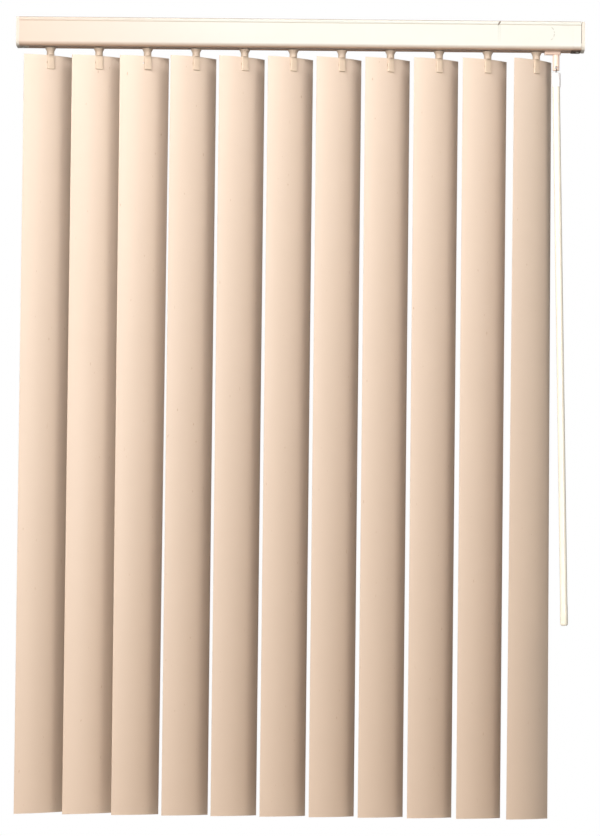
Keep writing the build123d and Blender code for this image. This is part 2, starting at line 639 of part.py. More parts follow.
def make_wand_hook():
    """Wire hook: through the tilter's eye, down in front of the tube, then into the sleeve's middle."""
    across = hanging()
    side = Plane(origin=across.origin, x_dir=across.y_dir, z_dir=across.x_dir)
    reach = TILTER_TUBE_RADIUS + HOOK_LEG_GAP + HOOK_WIRE_RADIUS
    with BuildPart() as hook:
        with BuildLine(side) as path:
            FilletPolyline(
                (reach, 0),
                (-reach, 0),
                (-reach, -HOOK_LEG_DROP),
                (0, -HOOK_LEG_DROP),
                (0, -HOOK_LEG_DROP - HOOK_TAIL),
                radius=HOOK_BEND_RADIUS,
            )
        with BuildSketch(Plane(origin=path.wire() @ 0, z_dir=path.wire() % 0)):
            Circle(HOOK_WIRE_RADIUS)
        sweep(path=path.wire())
    return hook.part


def make_wand_sleeve():
    """White moulded sleeve: rounded shoulders, a small bore for the hook's tail and a socket for the wand."""
    top = hanging().offset(-SLEEVE_DROP)
    bottom = top.offset(-SLEEVE_LENGTH)
    with BuildPart() as sleeve:
        disc(bottom, SLEEVE_RADIUS, SLEEVE_LENGTH)
        ends = sleeve.edges().filter_by(GeomType.CIRCLE).sort_by(Axis.Z)
        fillet(ends[-1], SLEEVE_SHOULDER)
        disc(bottom, HOOK_WIRE_RADIUS + SCREW_CLEARANCE, SLEEVE_LENGTH, Mode.SUBTRACT)
        disc(
            bottom,
            WAND_RADIUS + WAND_SOCKET_CLEARANCE,
            SLEEVE_LENGTH - SLEEVE_NECK,
            Mode.SUBTRACT,
        )
    return sleeve.part


def make_wand():
    """Wand rod, seated in the sleeve's socket, with a rounded free end."""
    top = hanging().offset(-SLEEVE_DROP - SLEEVE_NECK - WAND_SOCKET_CLEARANCE)
    with BuildPart() as wand:
        disc(top.offset(-WAND_LENGTH), WAND_RADIUS, WAND_LENGTH)
        ends = wand.edges().filter_by(GeomType.CIRCLE).sort_by(Axis.Z)
        fillet(ends[0], WAND_END_RADIUS)
    return wand.part


def save(name, part):
    """Label a finished piece and write it as its own STEP file."""
    part.label = name
    export_step(part, f"parts/{name}.step")


os.makedirs("parts", exist_ok=True)
save("headrail", make_headrail())
save("end_cap_left", make_end_cap(-1))
save("end_cap_right", make_end_cap(1))
save("end_cap_screws", make_end_cap_screws())
save("mounting_clips", make_mounting_clips())
save("tilt_rod", make_tilt_rod())
for n in range(VANE_COUNT):
    save(f"carrier_{n + 1:02d}", make_carrier(n))
    save(f"worm_{n + 1:02d}", make_worm(VANE_XS[n]))
    save(f"stem_{n + 1:02d}", make_stem(n))
    save(f"vane_{n + 1:02d}", make_vane(n))
save("tilter_arm", make_tilter_arm())
save("tilter_gear", make_tilter_gear())
save("tilter_stem", make_tilter_stem())
save("wand_hook", make_wand_hook())
save("wand_sleeve", make_wand_sleeve())
save("wand", make_wand())
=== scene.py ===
"""Looks of a vertical blind: enamelled headrail, moulded stems, curved PVC vanes and a hanging wand.

Everything is in metres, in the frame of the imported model: +X along the headrail towards the wand, -Y towards
the room, +Z up. Sizes that the frame holds are read from it; the others are fields of the classes below.
"""

import json
import logging
import math
from dataclasses import dataclass
from enum import Enum

import bpy
import numpy as np
from mathutils import Matrix, Vector


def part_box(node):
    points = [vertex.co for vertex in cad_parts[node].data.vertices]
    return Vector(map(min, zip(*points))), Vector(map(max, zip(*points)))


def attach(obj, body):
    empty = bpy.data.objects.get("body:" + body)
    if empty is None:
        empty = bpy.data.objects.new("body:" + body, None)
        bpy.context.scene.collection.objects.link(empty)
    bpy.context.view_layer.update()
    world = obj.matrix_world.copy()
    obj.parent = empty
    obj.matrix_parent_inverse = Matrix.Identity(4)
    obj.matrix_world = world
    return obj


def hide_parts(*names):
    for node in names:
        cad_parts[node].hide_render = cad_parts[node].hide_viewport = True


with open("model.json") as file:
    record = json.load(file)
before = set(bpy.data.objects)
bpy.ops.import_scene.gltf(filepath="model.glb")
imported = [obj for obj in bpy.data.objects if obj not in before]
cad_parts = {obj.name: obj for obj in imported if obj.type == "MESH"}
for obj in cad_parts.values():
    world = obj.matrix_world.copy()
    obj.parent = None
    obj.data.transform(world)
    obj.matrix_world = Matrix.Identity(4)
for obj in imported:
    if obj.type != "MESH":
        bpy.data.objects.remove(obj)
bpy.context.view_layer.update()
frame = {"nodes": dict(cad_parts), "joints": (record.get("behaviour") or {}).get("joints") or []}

MM = 0.001
LOG = logging.getLogger("vertical_blind")


# ---------------------------------------------------------------- meshes


@dataclass
class Shell:
    """A closed surface: its vertices, and its faces as lists of vertex numbers."""

    vertices: np.ndarray
    faces: list[list[int]]

    def volume(self) -> float:
        """Signed volume: the sum over fan triangles of the triple product of their corners, over six."""
        corners = [(f[0], f[k], f[k + 1]) for f in self.faces for k in range(1, len(f) - 1)]
        a, b, c = (self.vertices[np.array(corners)[:, k]] for k in range(3))
        return float(np.einsum("ij,ij->i", a, np.cross(b, c)).sum() / 6)

    def outward(self) -> "Shell":
        """The same shell with its faces turned outwards."""
        if self.volume() < 0:
            return Shell(self.vertices, [f[::-1] for f in self.faces])
        return self


def grid_quads(rows: int, columns: int, wrap: bool) -> np.ndarray:
    """Corner numbers of the cells of a grid of points.

    Args:
        rows: how many rows of points.
        columns: how many points in a row.
        wrap: whether the last column joins the first.

    Returns:
        An array with one row of four point numbers a cell.
    """
    r, c = np.meshgrid(np.arange(rows - 1), np.arange(columns if wrap else columns - 1), indexing="ij")
    right = (c + 1) % columns
    above, below = r * columns, (r + 1) * columns
    quads = np.stack([above + c, above + right, below + right, below + c], -1)
    return quads.reshape(-1, 4)


def loft(rings: np.ndarray) -> Shell:
    """Skin through closed rings of points, with a flat face on the first and the last ring.

    Args:
        rings: array of shape (ring, point, 3).

    Returns:
        The closed shell.
    """
    count, around = rings.shape[:2]
    faces = grid_quads(count, around, wrap=True).tolist()
    faces.append(list(range(around))[::-1])
    faces.append([(count - 1) * around + k for k in range(around)])
    return Shell(rings.reshape(-1, 3), faces).outward()


def plate(front: np.ndarray, back: np.ndarray, kept: np.ndarray) -> Shell:
    """Thin plate between two grids of points, with walls round its rim and round each hole.

    Args:
        front: grid of shape (row, column, 3).
        back: the other side, of the same shape.
        kept: which cells are solid, of shape (row - 1, column - 1).

    Returns:
        The closed shell. A wall stands on each side of a solid cell whose neighbour is missing.
    """
    rows, columns = front.shape[:2]
    count = rows * columns
    quads = grid_quads(rows, columns, wrap=False).reshape(rows - 1, columns - 1, 4)
    faces = quads[kept].tolist() + (quads[kept][:, ::-1] + count).tolist()
    padded = np.pad(kept, 1)
    sides = [((-1, 0), (0, 1)), ((0, 1), (1, 2)), ((1, 0), (2, 3)), ((0, -1), (3, 0))]
    for (down, across), (first, second) in sides:
        neighbour = padded[1 + down : rows + down, 1 + across : columns + across]
        edge = quads[kept & ~neighbour]
        a, b = edge[:, first], edge[:, second]
        faces += np.stack([b, a, a + count, b + count], -1).tolist()
    return Shell(np.concatenate([front.reshape(-1, 3), back.reshape(-1, 3)]), faces).outward()


def rounded_rectangle(width: float, depth: float, radius: float, steps: int = 5) -> np.ndarray:
    """Outline of a rectangle with quarter-circle corners, round the origin.

    Args:
        width: size along X.
        depth: size along Y.
        radius: corner radius.
        steps: points to a corner.

    Returns:
        Array of shape (point, 2), anticlockwise.
    """
    turn = np.linspace(0, np.pi / 2, steps)
    corner = radius * np.stack([np.cos(turn), np.sin(turn)], -1)
    points = []
    for k, (sx, sy) in enumerate([(1, 1), (-1, 1), (-1, -1), (1, -1)]):
        c, s = math.cos(k * math.pi / 2), math.sin(k * math.pi / 2)
        middle = np.array([sx * (width / 2 - radius), sy * (depth / 2 - radius)])
        points.append(middle + corner @ np.array([[c, s], [-s, c]]))
    return np.concatenate(points)


def stacked(outlines: list[np.ndarray], heights: np.ndarray) -> Shell:
    """Skin through flat outlines, each at its own height.

    Args:
        outlines: arrays of shape (point, 2), all with as many points.
        heights: the height of each.

    Returns:
        The closed shell.
    """
    return loft(np.array([np.column_stack([o, np.full(len(o), h)]) for o, h in zip(outlines, heights)]))


def circle(count: int) -> np.ndarray:
    """Unit circle of count points, of shape (point, 2)."""
    turn = np.linspace(0, 2 * np.pi, count, endpoint=False)
    return np.stack([np.cos(turn), np.sin(turn)], -1)


def revolved(profile: list[tuple[float, float]], count: int = 48) -> np.ndarray:
    """Rings of a surface of revolution about Z: each (radius, height) is one circle.

    Args:
        profile: radii and heights from one end to the other.
        count: points round the axis.

    Returns:
        Array of shape (ring, point, 3).
    """
    r, z = np.array(profile).T
    flat = r[:, None, None] * circle(count)[None]
    return np.concatenate([flat, np.broadcast_to(z[:, None, None], flat.shape[:2] + (1,))], -1)


def rounded_profile(
    points: list[tuple[float, float]], radius: float, steps: int = 4
) -> list[tuple[float, float]]:
    """A profile of (radius, height) points with its inner corners replaced by short quadratic curves.

    Args:
        points: the corner points.
        radius: how far from a corner its curve starts, at most.
        steps: points to a curve.

    Returns:
        The smoothed profile, with the same two end points.
    """
    p = np.array(points, float)
    smooth = [p[0]]
    for before, corner, after in zip(p[:-2], p[1:-1], p[2:]):
        to_before, to_after = before - corner, after - corner
        reach_in = min(radius, np.linalg.norm(to_before) * 0.45)
        reach_out = min(radius, np.linalg.norm(to_after) * 0.45)
        start = corner + to_before / np.linalg.norm(to_before) * reach_in
        stop = corner + to_after / np.linalg.norm(to_after) * reach_out
        t = np.linspace(0, 1, steps)[:, None]
        smooth.extend((1 - t) ** 2 * start + 2 * t * (1 - t) * corner + t**2 * stop)
    smooth.append(p[-1])
    return [tuple(q) for q in smooth]


def placed(
    points: np.ndarray, origin: tuple[float, float, float], turn: float = 0.0, lean: float = 0.0
) -> np.ndarray:
    """Points turned about Z, leaned about Y so that their lower end moves to +X, and moved to an origin.

    Args:
        points: array whose last axis is X, Y, Z.
        origin: where the local origin goes.
        turn: angle about Z in radians.
        lean: angle from plumb in radians.

    Returns:
        The placed points, of the same shape.
    """
    turned = Matrix.Rotation(-lean, 3, "Y") @ Matrix.Rotation(turn, 3, "Z")
    return points @ np.array(turned).T + np.array(origin)


def add_piece(
    name: str, shells: list[Shell], material: bpy.types.Material, sharp: float = 35.0
) -> bpy.types.Object:
    """Makes one object of closed shells, smooth but for edges sharper than an angle.

    Args:
        name: the object's name.
        shells: its closed shells.
        material: its only material.
        sharp: edges over this angle, in degrees, stay sharp.

    Returns:
        The new object, at the origin.
    """
    offsets = np.cumsum([0] + [len(s.vertices) for s in shells])
    vertices = np.concatenate([s.vertices for s in shells])
    faces = [[v + int(o) for v in f] for s, o in zip(shells, offsets) for f in s.faces]
    mesh = bpy.data.meshes.new(name)
    mesh.from_pydata(vertices.tolist(), [], faces)
    mesh.polygons.foreach_set("use_smooth", [True] * len(mesh.polygons))
    mesh.set_sharp_from_angle(angle=math.radians(sharp))
    mesh.materials.append(material)
    mesh.validate()
    piece = bpy.data.objects.new(name, mesh)
    bpy.context.scene.collection.objects.link(piece)
    return piece


# ---------------------------------------------------------------- finishes


def linear(colour: str) -> tuple[float, float, float, float]:
    """Linear colour of an sRGB hex value such as "#E7CFB8", with alpha 1."""
    parts = [int(colour[k : k + 2], 16) / 255 for k in (1, 3, 5)]
    return (*(c / 12.92 if c <= 0.04045 else ((c + 0.055) / 1.055) ** 2.4 for c in parts), 1.0)


def add_node(
    tree: bpy.types.NodeTree, kind: str, inputs: dict | None = None, **settings: object
) -> bpy.types.Node:
    """Adds a node, sets its properties and fills its inputs.

    Args:
        tree: the node tree.
        kind: the node's type, such as "ShaderNodeMath".
        inputs: input names or numbers to a plain value or to the socket that feeds it.
        settings: properties of the node, by name.

    Returns:
        The new node.
    """
    node = tree.nodes.new(kind)
    for key, value in settings.items():
        setattr(node, key, value)
    for key, value in (inputs or {}).items():
        if isinstance(value, bpy.types.NodeSocket):
            tree.links.new(value, node.inputs[key])
        else:
            node.inputs[key].default_value = value
    return node


@dataclass(frozen=True)
class Grain:
    """A noise pattern on object coordinates: one feature is size millimetres along X, Y and Z."""

    size_mm: tuple[float, float, float]
    detail: float = 2.0

    def output(self, tree: bpy.types.NodeTree) -> bpy.types.NodeSocket:
        """The noise's value, from 0 to 1."""
        place = add_node(tree, "ShaderNodeTexCoord").outputs["Object"]
        scale = tuple(1 / (s * MM) for s in self.size_mm)
        mapped = add_node(tree, "ShaderNodeMapping", {"Vector": place, "Scale": scale})
        shape = {"Vector": mapped.outputs[0], "Scale": 1.0, "Detail": self.detail}
        return add_node(tree, "ShaderNodeTexNoise", shape).outputs["Fac"]


class Axis(Enum):
    """A coordinate of the object, by the name of its socket."""

    X = "X"
    Y = "Y"
    Z = "Z"


def along(tree: bpy.types.NodeTree, axis: Axis, start: float, stop: float) -> bpy.types.NodeSocket:
    """Ramp from 0 to 1 between two places on an axis of the object, in metres."""
    place = add_node(tree, "ShaderNodeTexCoord").outputs["Object"]
    split = add_node(tree, "ShaderNodeSeparateXYZ", {0: place})
    return threshold(tree, split.outputs[axis.value], start, stop)


def stretched(
    tree: bpy.types.NodeTree, value: bpy.types.NodeSocket, low: float, high: float
) -> bpy.types.NodeSocket:
    """A 0 to 1 value carried linearly onto low to high."""
    return add_node(tree, "ShaderNodeMapRange", {"Value": value, "To Min": low, "To Max": high}).outputs[0]


def threshold(
    tree: bpy.types.NodeTree, value: bpy.types.NodeSocket, start: float, stop: float
) -> bpy.types.NodeSocket:
    """0 at start, 1 at stop, linear between them and level beyond. Start may be the greater."""
    span = {"Value": value, "From Min": start, "From Max": stop}
    return add_node(tree, "ShaderNodeMapRange", span).outputs[0]


def blended(
    tree: bpy.types.NodeTree, amount: bpy.types.NodeSocket, first: object, second: object
) -> bpy.types.NodeSocket:
    """Mix of two colours, each a socket or a linear colour."""
    mix = add_node(tree, "ShaderNodeMix", {0: amount, 6: first, 7: second}, data_type="RGBA")
    return mix.outputs[2]


@dataclass(frozen=True)
class Finish:
    """A surface: a base colour, a broad mottle towards a second tone, and a fine relief."""

    name: str
    colour: str
    tone: str
    roughness: float
    mottle: Grain
    relief: Grain
    relief_mm: float
    mottle_share: float = 0.5
    roughness_spread: float = 0.08
    ior: float = 1.5
    metallic: float = 0.0
    coat: float = 0.0

    def base(self, tree: bpy.types.NodeTree) -> bpy.types.NodeSocket:
        """Colour of the surface: the two tones mixed by the broad mottle."""
        amount = stretched(tree, self.mottle.output(tree), 0.0, self.mottle_share)
        return blended(tree, amount, linear(self.colour), linear(self.tone))

    def material(self) -> bpy.types.Material:
        """Builds the material on a Principled shader, with the relief as bump and as roughness."""
        made = bpy.data.materials.new(self.name)
        made.use_nodes = True
        tree = made.node_tree
        shader = tree.nodes["Principled BSDF"]
        shader.inputs["IOR"].default_value = self.ior
        shader.inputs["Metallic"].default_value = self.metallic
        shader.inputs["Coat Weight"].default_value = self.coat
        relief = self.relief.output(tree)
        spread = self.roughness_spread
        rough = stretched(tree, relief, self.roughness - spread, self.roughness + spread)
        bump = add_node(tree, "ShaderNodeBump", {"Height": relief, "Distance": self.relief_mm * MM})
        tree.links.new(self.base(tree), shader.inputs["Base Color"])
        tree.links.new(rough, shader.inputs["Roughness"])
        tree.links.new(bump.outputs[0], shader.inputs["Normal"])
        return made


@dataclass(frozen=True)
class VanePvc(Finish):
    """Extruded PVC with a satin face: lengthwise die lines, and painted shade: a warmer, duller tone towards
    the bottom.
    """

    # Painted shade: the vane's colour at its foot, where less light reaches.
    shaded_low_colour: str = "#D0BAA6"
    speck_colour: str = "#C2A68C"
    speck_grain: Grain = Grain((3.0, 3.0, 9.0), 0.0)
    speck_span: tuple[float, float] = (0.84, 0.92)

    def base(self, tree: bpy.types.NodeTree) -> bpy.types.NodeSocket:
        """Mottled colour, warmed and darkened down the vane as painted shade, with sparse handling specks."""
        top = Finish.base(self, tree)
        foot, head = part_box("vane_01")
        down = along(tree, Axis.Z, head[2], foot[2])
        darkened_down = blended(tree, down, top, linear(self.shaded_low_colour))
        specks = threshold(tree, self.speck_grain.output(tree), *self.speck_span)
        return blended(tree, specks, darkened_down, linear(self.speck_colour))


@dataclass(frozen=True)
class StemAcetal(Finish):
    """Moulded acetal, with a darker painted shade on the collar and neck, next to the slot it runs in."""

    # Painted shade: the collar and neck are darkened where the rail shades them.
    painted_shade_colour: str = "#B3A291"
    shade_heights: tuple[float, float] = (-0.0645, -0.0560)

    def base(self, tree: bpy.types.NodeTree) -> bpy.types.NodeSocket:
        """Mottled colour, going over to a darker painted shade between the two heights."""
        in_shade = along(tree, Axis.Z, *self.shade_heights)
        return blended(tree, in_shade, Finish.base(self, tree), linear(self.painted_shade_colour))


@dataclass(frozen=True)
class RailEnamel(Finish):
    """Baked enamel on steel: yellowed towards one end, scratched, and chipped to the metal at a nick."""

    warm_colour: str = "#CEBBAC"
    scratch_colour: str = "#8F887B"
    chip_colour: str = "#6E6258"
    scratch_centre: tuple[float, float] = (0.3955, -0.0195)
    scratch_radius: float = 0.0125
    scratch_width: float = 0.0005
    scratch_ragged: float = 0.0008
    scratch_start: tuple[float, float] = (0.006, 0.009)
    scratch_gaps: tuple[float, float] = (0.40, 0.62)
    chip_centre: tuple[float, float] = (0.3196, -0.0034)
    chip_reach: tuple[float, float] = (0.0014, 0.0042)
    chip_slant: float = math.radians(32)
    chip_ragged: float = 0.35
    chip_rim: tuple[float, float] = (1.15, 0.75)
    # Painted shade: the tone the lower rounding goes over to towards the underside.
    underside_shade_colour: str = "#A88C78"
    underside_shade_span: tuple[float, float] = (0.007, 0.001)
    warm_start: float = 0.25
    # Painted shade: the tone of the darker line at the top edge and of the painted shadow line under the hem.
    painted_shade_colour: str = "#A3937F"
    top_edge_shade: tuple[float, float] = (-0.0016, -0.0003)
    hem_shadow_line: tuple[float, float] = (-0.0059, 0.0007)

    def distance(self, tree: bpy.types.NodeTree, centre: tuple[float, float]) -> bpy.types.NodeSocket:
        """Distance in X and Z from a place on the rail's face, made ragged by a fine noise."""
        place = add_node(tree, "ShaderNodeTexCoord").outputs["Object"]
        flat = add_node(tree, "ShaderNodeVectorMath", {0: place, 1: (1, 0, 1)}, operation="MULTIPLY")
        ends = {0: flat.outputs[0], 1: (centre[0], 0, centre[1])}
        away = add_node(tree, "ShaderNodeVectorMath", ends, operation="DISTANCE")
        noise = Grain((1.5, 1.5, 1.5)).output(tree)
        ragged = stretched(tree, noise, -self.scratch_ragged, self.scratch_ragged)
        total = {0: away.outputs["Value"], 1: ragged}
        return add_node(tree, "ShaderNodeMath", total, operation="ADD").outputs[0]

    def chip(self, tree: bpy.types.NodeTree) -> bpy.types.NodeSocket:
        """1 inside a slanted ellipse about the chip's centre, with a ragged rim."""
        x, z = self.chip_centre
        wide, tall = self.chip_reach
        turned = add_node(
            tree,
            "ShaderNodeMapping",
            {
                "Vector": add_node(tree, "ShaderNodeTexCoord").outputs["Object"],
                "Location": (x, 0.0, z),
                "Rotation": (0.0, self.chip_slant, 0.0),
                "Scale": (wide, 1.0, tall),
            },
            vector_type="TEXTURE",
        )
        plane = {0: turned.outputs[0], 1: (1, 0, 1)}
        flat = add_node(tree, "ShaderNodeVectorMath", plane, operation="MULTIPLY").outputs[0]
        away = add_node(tree, "ShaderNodeVectorMath", {0: flat}, operation="LENGTH").outputs["Value"]
        noise = Grain((1.2, 1.2, 1.2)).output(tree)
        ragged = stretched(tree, noise, -self.chip_ragged, self.chip_ragged)
        edge = add_node(tree, "ShaderNodeMath", {0: away, 1: ragged}, operation="ADD").outputs[0]
        return threshold(tree, edge, *self.chip_rim)

    def base(self, tree: bpy.types.NodeTree) -> bpy.types.NodeSocket:
        """Enamel colour along the rail, with painted shade below, painted shadow lines at the top edge and
        under the hem, and the scratch and the chip on it.
        """
        plain = Finish.base(self, tree)
        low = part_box("headrail")[0]
        towards_left = along(tree, Axis.X, low[0] * self.warm_start, low[0])
        enamel = blended(tree, towards_left, plain, linear(self.warm_colour))
        # Painted shade: darker towards the underside.
        unshaded, shaded = self.underside_shade_span
        underneath = along(tree, Axis.Z, low[2] + unshaded, low[2] + shaded)
        enamel = blended(tree, underneath, enamel, linear(self.underside_shade_colour))
        # Painted shade along the top edge, and a painted shadow line under the hem's step.
        enamel = blended(tree, along(tree, Axis.Z, *self.top_edge_shade), enamel, linear(self.painted_shade_colour))
        middle, half = self.hem_shadow_line
        above = along(tree, Axis.Z, middle - half, middle)
        below = along(tree, Axis.Z, middle + half, middle)
        line = add_node(tree, "ShaderNodeMath", {0: above, 1: below}, operation="MULTIPLY").outputs[0]
        enamel = blended(tree, line, enamel, linear(self.painted_shade_colour))
        ring = add_node(
            tree,
            "ShaderNodeMath",
            {0: self.distance(tree, self.scratch_centre), 1: -self.scratch_radius},
            operation="ADD",
        )
        off_ring = add_node(tree, "ShaderNodeMath", {0: ring.outputs[0]}, operation="ABSOLUTE").outputs[0]
        on_ring = threshold(tree, off_ring, 2 * self.scratch_width, 0.0)
        start, full = self.scratch_start
        right_half = along(tree, Axis.X, self.scratch_centre[0] + start, self.scratch_centre[0] + full)
        broken = threshold(tree, Grain((4.0, 4.0, 4.0)).output(tree), *self.scratch_gaps)
        arc = add_node(tree, "ShaderNodeMath", {0: on_ring, 1: right_half}, operation="MULTIPLY")
        arc = add_node(tree, "ShaderNodeMath", {0: arc.outputs[0], 1: broken}, operation="MULTIPLY")
        scratched = blended(tree, arc.outputs[0], enamel, linear(self.scratch_colour))
        return blended(tree, self.chip(tree), scratched, linear(self.chip_colour))


def moulded(name: str, colour: str, tone: str, roughness: float) -> Finish:
    """Injection-moulded plastic: the skin copies the tool, so it is smooth with a faint 0.4 mm texture."""
    return Finish(name, colour, tone, roughness, Grain((14, 14, 14)), Grain((0.4, 0.4, 0.4)), 0.01, ior=1.48)


ENAMEL = RailEnamel(
    # Roll-formed steel with baked enamel: a satin gloss with slight orange peel, 3 mm across.
    "rail_enamelled_steel",
    colour="#CACCC6",
    tone="#C7C6BC",
    roughness=0.32,
    mottle=Grain((60, 60, 40)),
    relief=Grain((3, 3, 3), 1.0),
    relief_mm=0.012,
    coat=0.15,
)
PVC = VanePvc(
    # Extruded PVC: die lines about 1.2 mm apart run down the vane; the face is satin.
    "vane_extruded_pvc",
    colour="#DDCBBB",
    tone="#D8C4B0",
    roughness=0.40,
    mottle=Grain((40, 40, 260)),
    relief=Grain((1.2, 1.2, 500), 3.0),
    relief_mm=0.035,
    ior=1.53,
)
STEM_ACETAL = StemAcetal(
    # Moulded acetal: smooth and slightly waxy, with a faint 0.4 mm texture from the tool.
    "stem_moulded_acetal",
    colour="#D8C6B2",
    tone="#D0BCA5",
    roughness=0.38,
    mottle=Grain((14, 14, 14)),
    relief=Grain((0.4, 0.4, 0.4)),
    relief_mm=0.01,
    ior=1.48,
)
CARRIER_ACETAL = moulded("carrier_moulded_acetal", "#DDD8CB", "#D5CEBE", 0.45)
CAP_ABS = moulded("end_cap_moulded_abs", "#CCC6BC", "#C6BEB2", 0.34)
TILTER_ABS = moulded("tilter_moulded_abs", "#E6CFC0", "#DFC3B0", 0.33)
SLEEVE_ABS = moulded("sleeve_moulded_abs", "#EDEBEB", "#E6E3E3", 0.28)
WAND_ACRYLIC = Finish(
    # Extruded acrylic rod, drawn through a die: faint lengthwise lines 0.8 mm apart under a bright gloss.
    "wand_extruded_acrylic",
    colour="#E9E4D6",
    tone="#E4DCC8",
    roughness=0.20,
    mottle=Grain((30, 30, 200)),
    relief=Grain((0.8, 0.8, 300)),
    relief_mm=0.02,
    coat=0.3,
)
GAP_SHADE = Finish(
    # Near-black painted shade on the cap's tongue and in the seam: dull and blotchy, in clots 1.5 mm across.
    "cap_tongue_painted_shade",
    colour="#4A3C34",
    tone="#7A685A",
    roughness=0.75,
    mottle=Grain((1.5, 1.5, 1.5)),
    relief=Grain((0.5, 0.5, 0.5)),
    relief_mm=0.03,
)
ZINC_STEEL = Finish(
    # Zinc-plated spring steel: a grey metal with a fine crystalline bloom, 0.6 mm across.
    "zinc_plated_steel",
    colour="#B9B9B4",
    tone="#A5A39B",
    roughness=0.34,
    mottle=Grain((5, 5, 5)),
    relief=Grain((0.6, 0.6, 0.6)),
    relief_mm=0.01,
    metallic=1.0,
)
WIRE_STEEL = Finish(
    # Drawn steel wire with a darkened skin, and drawing lines along it.
    "hook_drawn_steel_wire",
    colour="#6E655B",
    tone="#574F47",
    roughness=0.38,
    mottle=Grain((3, 3, 3)),
    relief=Grain((0.3, 0.3, 2)),
    relief_mm=0.01,
    metallic=1.0,
)
ROD_ALUMINIUM = Finish(
    # Extruded aluminium in mill finish: die lines run along the rod.
    "rod_extruded_aluminium",
    colour="#C9CACB",
    tone="#B9BBBD",
    roughness=0.36,
    mottle=Grain((80, 4, 4)),
    relief=Grain((60, 0.3, 0.3)),
    relief_mm=0.01,
    metallic=1.0,
)


# ---------------------------------------------------------------- sub-assemblies


